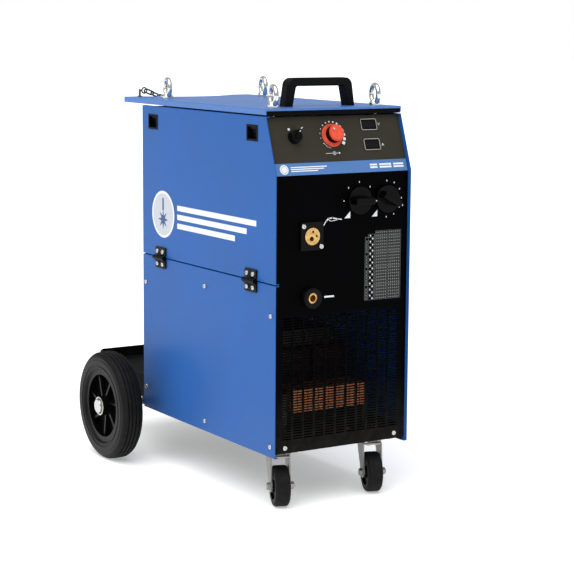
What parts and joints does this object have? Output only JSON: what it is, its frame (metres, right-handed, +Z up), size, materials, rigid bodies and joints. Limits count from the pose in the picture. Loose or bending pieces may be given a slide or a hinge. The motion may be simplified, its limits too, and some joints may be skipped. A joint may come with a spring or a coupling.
{
  "type": "mig welder on cart",
  "caption": "Wheeled step-switched MIG welding power source with built-in wire feeder, side door, front control fascia and rear gas cylinder platform.",
  "frame": {"origin": "on the floor, at the middle of the whole footprint", "axes": "+Z up; the control front faces -Y; +X is the right-hand side seen from the front"},
  "size_m": [0.5258, 0.8284, 0.8245],
  "materials": {
    "cabinet_blue": "semi-gloss powder coat",
    "panel_black": "fine textured black",
    "fascia_grey": "satin dark grey",
    "zinc_steel": "bright zinc plate",
    "black_plastic": "moulded, fine grain",
    "red_plastic": "moulded",
    "brass": "turned",
    "smoked_window": "smoked",
    "meter_frame": "moulded",
    "circuit_board": "solder resist",
    "core_iron": "varnished laminations",
    "copper_winding": "enamelled copper",
    "aluminium_sink": "extruded",
    "tyre_rubber": "moulded rubber",
    "rim_plastic": "moulded",
    "caster_wheel": "moulded",
    "spool_plastic": "moulded",
    "platform_black": "black powder coat"
  },
  "bodies": {
    "cabinet": {"base_plate": "panel_black", "front_panel": "panel_black", "control_fascia": "fascia_grey", "fascia_band": "cabinet_blue", "right_side_panel": "cabinet_blue", "left_lower_panel": "cabinet_blue", "rear_panel": "panel_black", "lid": "cabinet_blue", "equipment_shelf": "zinc_steel", "centre_divider": "zinc_steel", "lifting_eyebolts": "zinc_steel", "carry_handle": "black_plastic", "panel_screws": "zinc_steel", "hex_bolts": "zinc_steel", "hinge_lower_leaves": "black_plastic", "torch_socket_flange": "black_plastic", "torch_socket_core": "brass", "earth_socket_body": "black_plastic", "earth_socket_contact": "brass", "meter_frames": "meter_frame", "meter_windows": "smoked_window", "control_board": "circuit_board", "transformer_core": "core_iron", "transformer_coils": "copper_winding", "output_choke": "copper_winding", "rectifier_stack": "aluminium_sink", "contactor": "black_plastic", "fan_frame": "black_plastic", "feeder_plate": "black_plastic", "feeder_motor": "zinc_steel", "spool_hub": "black_plastic", "cylinder_platform": "platform_black", "retaining_chain": "zinc_steel", "rear_axle": "zinc_steel", "axle_caps": "zinc_steel", "caster_plates": "zinc_steel", "cable_gland": "black_plastic", "gas_inlet": "brass"},
    "door": {"side_door": "cabinet_blue", "hinge_door_leaves": "black_plastic", "latch_housings": "black_plastic"},
    "front_latch": {"latch_slide_front": "black_plastic"},
    "rear_latch": {"latch_slide_rear": "black_plastic"},
    "speed_knob": {"wire_speed_knob": "red_plastic"},
    "mode_selector": {"mode_knob": "black_plastic"},
    "coarse_switch": {"coarse_switch_knob": "black_plastic"},
    "fine_switch": {"fine_switch_knob": "black_plastic"},
    "left_fork": {"caster_fork_left": "zinc_steel"},
    "right_fork": {"caster_fork_right": "zinc_steel"},
    "left_caster": {"caster_wheel_left": "caster_wheel"},
    "right_caster": {"caster_wheel_right": "caster_wheel"},
    "left_wheel": {"rear_tyre_left": "tyre_rubber", "rear_rim_left": "rim_plastic"},
    "right_wheel": {"rear_tyre_right": "tyre_rubber", "rear_rim_right": "rim_plastic"},
    "impeller": {"fan_impeller": "black_plastic"},
    "spool": {"wire_spool": "spool_plastic"},
    "feed_roll": {"drive_roll": "zinc_steel"},
    "swing_arm": {"pressure_arm": "zinc_steel"},
    "idler_roll": {"pressure_roll": "zinc_steel"}
  },
  "joints": [
    {"name": "door_hinge", "type": "hinge", "parent": "cabinet", "child": "door", "pos_m": [-0.1605, -0.12275, 0.44], "axis": [0, -1, 0], "range_deg": [0, 150]},
    {"name": "front_latch_slide", "type": "slide", "parent": "door", "child": "front_latch", "axis": [0, 0, -1], "range_m": [0, 0.007], "stiffness_N_per_m": 60, "springref_m": -0.003},
    {"name": "rear_latch_slide", "type": "slide", "parent": "door", "child": "rear_latch", "axis": [0, 0, -1], "range_m": [0, 0.007], "stiffness_N_per_m": 60, "springref_m": -0.003},
    {"name": "speed_knob_turn", "type": "hinge", "parent": "cabinet", "child": "speed_knob", "pos_m": [-0.01, -0.36287, 0.71659], "axis": [0, -0.9444, 0.3289], "range_deg": [-150, 150]},
    {"name": "mode_knob_turn", "type": "hinge", "parent": "cabinet", "child": "mode_selector", "pos_m": [-0.096, -0.36337, 0.71517], "axis": [0, -0.9444, 0.3289], "range_deg": [0, 74]},
    {"name": "coarse_switch_turn", "type": "hinge", "parent": "cabinet", "child": "coarse_switch", "pos_m": [0.0382, -0.38775, 0.592], "axis": [0, -1, 0], "range_deg": [0, 180]},
    {"name": "fine_switch_turn", "type": "hinge", "parent": "cabinet", "child": "fine_switch", "pos_m": [0.1023, -0.38775, 0.592], "axis": [0, -1, 0], "range_deg": [-60, 120]},
    {"name": "left_caster_swivel", "type": "hinge", "parent": "cabinet", "child": "left_fork", "pos_m": [-0.108, -0.32775, 0.101], "axis": [0, 0, 1], "continuous": true},
    {"name": "left_caster_roll", "type": "hinge", "parent": "left_fork", "child": "left_caster", "pos_m": [-0.1186, -0.35688, 0.04], "axis": [0.9397, -0.342, 0], "continuous": true},
    {"name": "right_caster_swivel", "type": "hinge", "parent": "cabinet", "child": "right_fork", "pos_m": [0.108, -0.32775, 0.101], "axis": [0, 0, 1], "continuous": true},
    {"name": "right_caster_roll", "type": "hinge", "parent": "right_fork", "child": "right_caster", "pos_m": [0.0974, -0.35688, 0.04], "axis": [0.9397, -0.342, 0], "continuous": true},
    {"name": "left_wheel_roll", "type": "hinge", "parent": "cabinet", "child": "left_wheel", "pos_m": [-0.231, 0.15625, 0.115], "axis": [1, 0, 0], "continuous": true},
    {"name": "right_wheel_roll", "type": "hinge", "parent": "cabinet", "child": "right_wheel", "pos_m": [0.231, 0.15625, 0.115], "axis": [1, 0, 0], "continuous": true},
    {"name": "fan_spin", "type": "hinge", "parent": "cabinet", "child": "impeller", "pos_m": [0, 0.11675, 0.305], "axis": [0, 1, 0], "continuous": true},
    {"name": "spool_turn", "type": "hinge", "parent": "cabinet", "child": "spool", "pos_m": [-0.076, -0.02475, 0.586], "axis": [1, 0, 0], "continuous": true},
    {"name": "feed_roll_turn", "type": "hinge", "parent": "cabinet", "child": "feed_roll", "pos_m": [-0.0715, -0.27575, 0.5094], "axis": [1, 0, 0], "continuous": true},
    {"name": "arm_lift", "type": "hinge", "parent": "cabinet", "child": "swing_arm", "pos_m": [-0.0635, -0.22975, 0.5425], "axis": [-1, 0, 0], "range_deg": [0, 50]},
    {"name": "idler_roll_turn", "type": "hinge", "parent": "swing_arm", "child": "idler_roll", "pos_m": [-0.0715, -0.27575, 0.5476], "axis": [1, 0, 0], "continuous": true}
  ],
  "couplings": [
    {"joint": "idler_roll_turn", "follows": "feed_roll_turn", "ratio": -1}
  ]
}
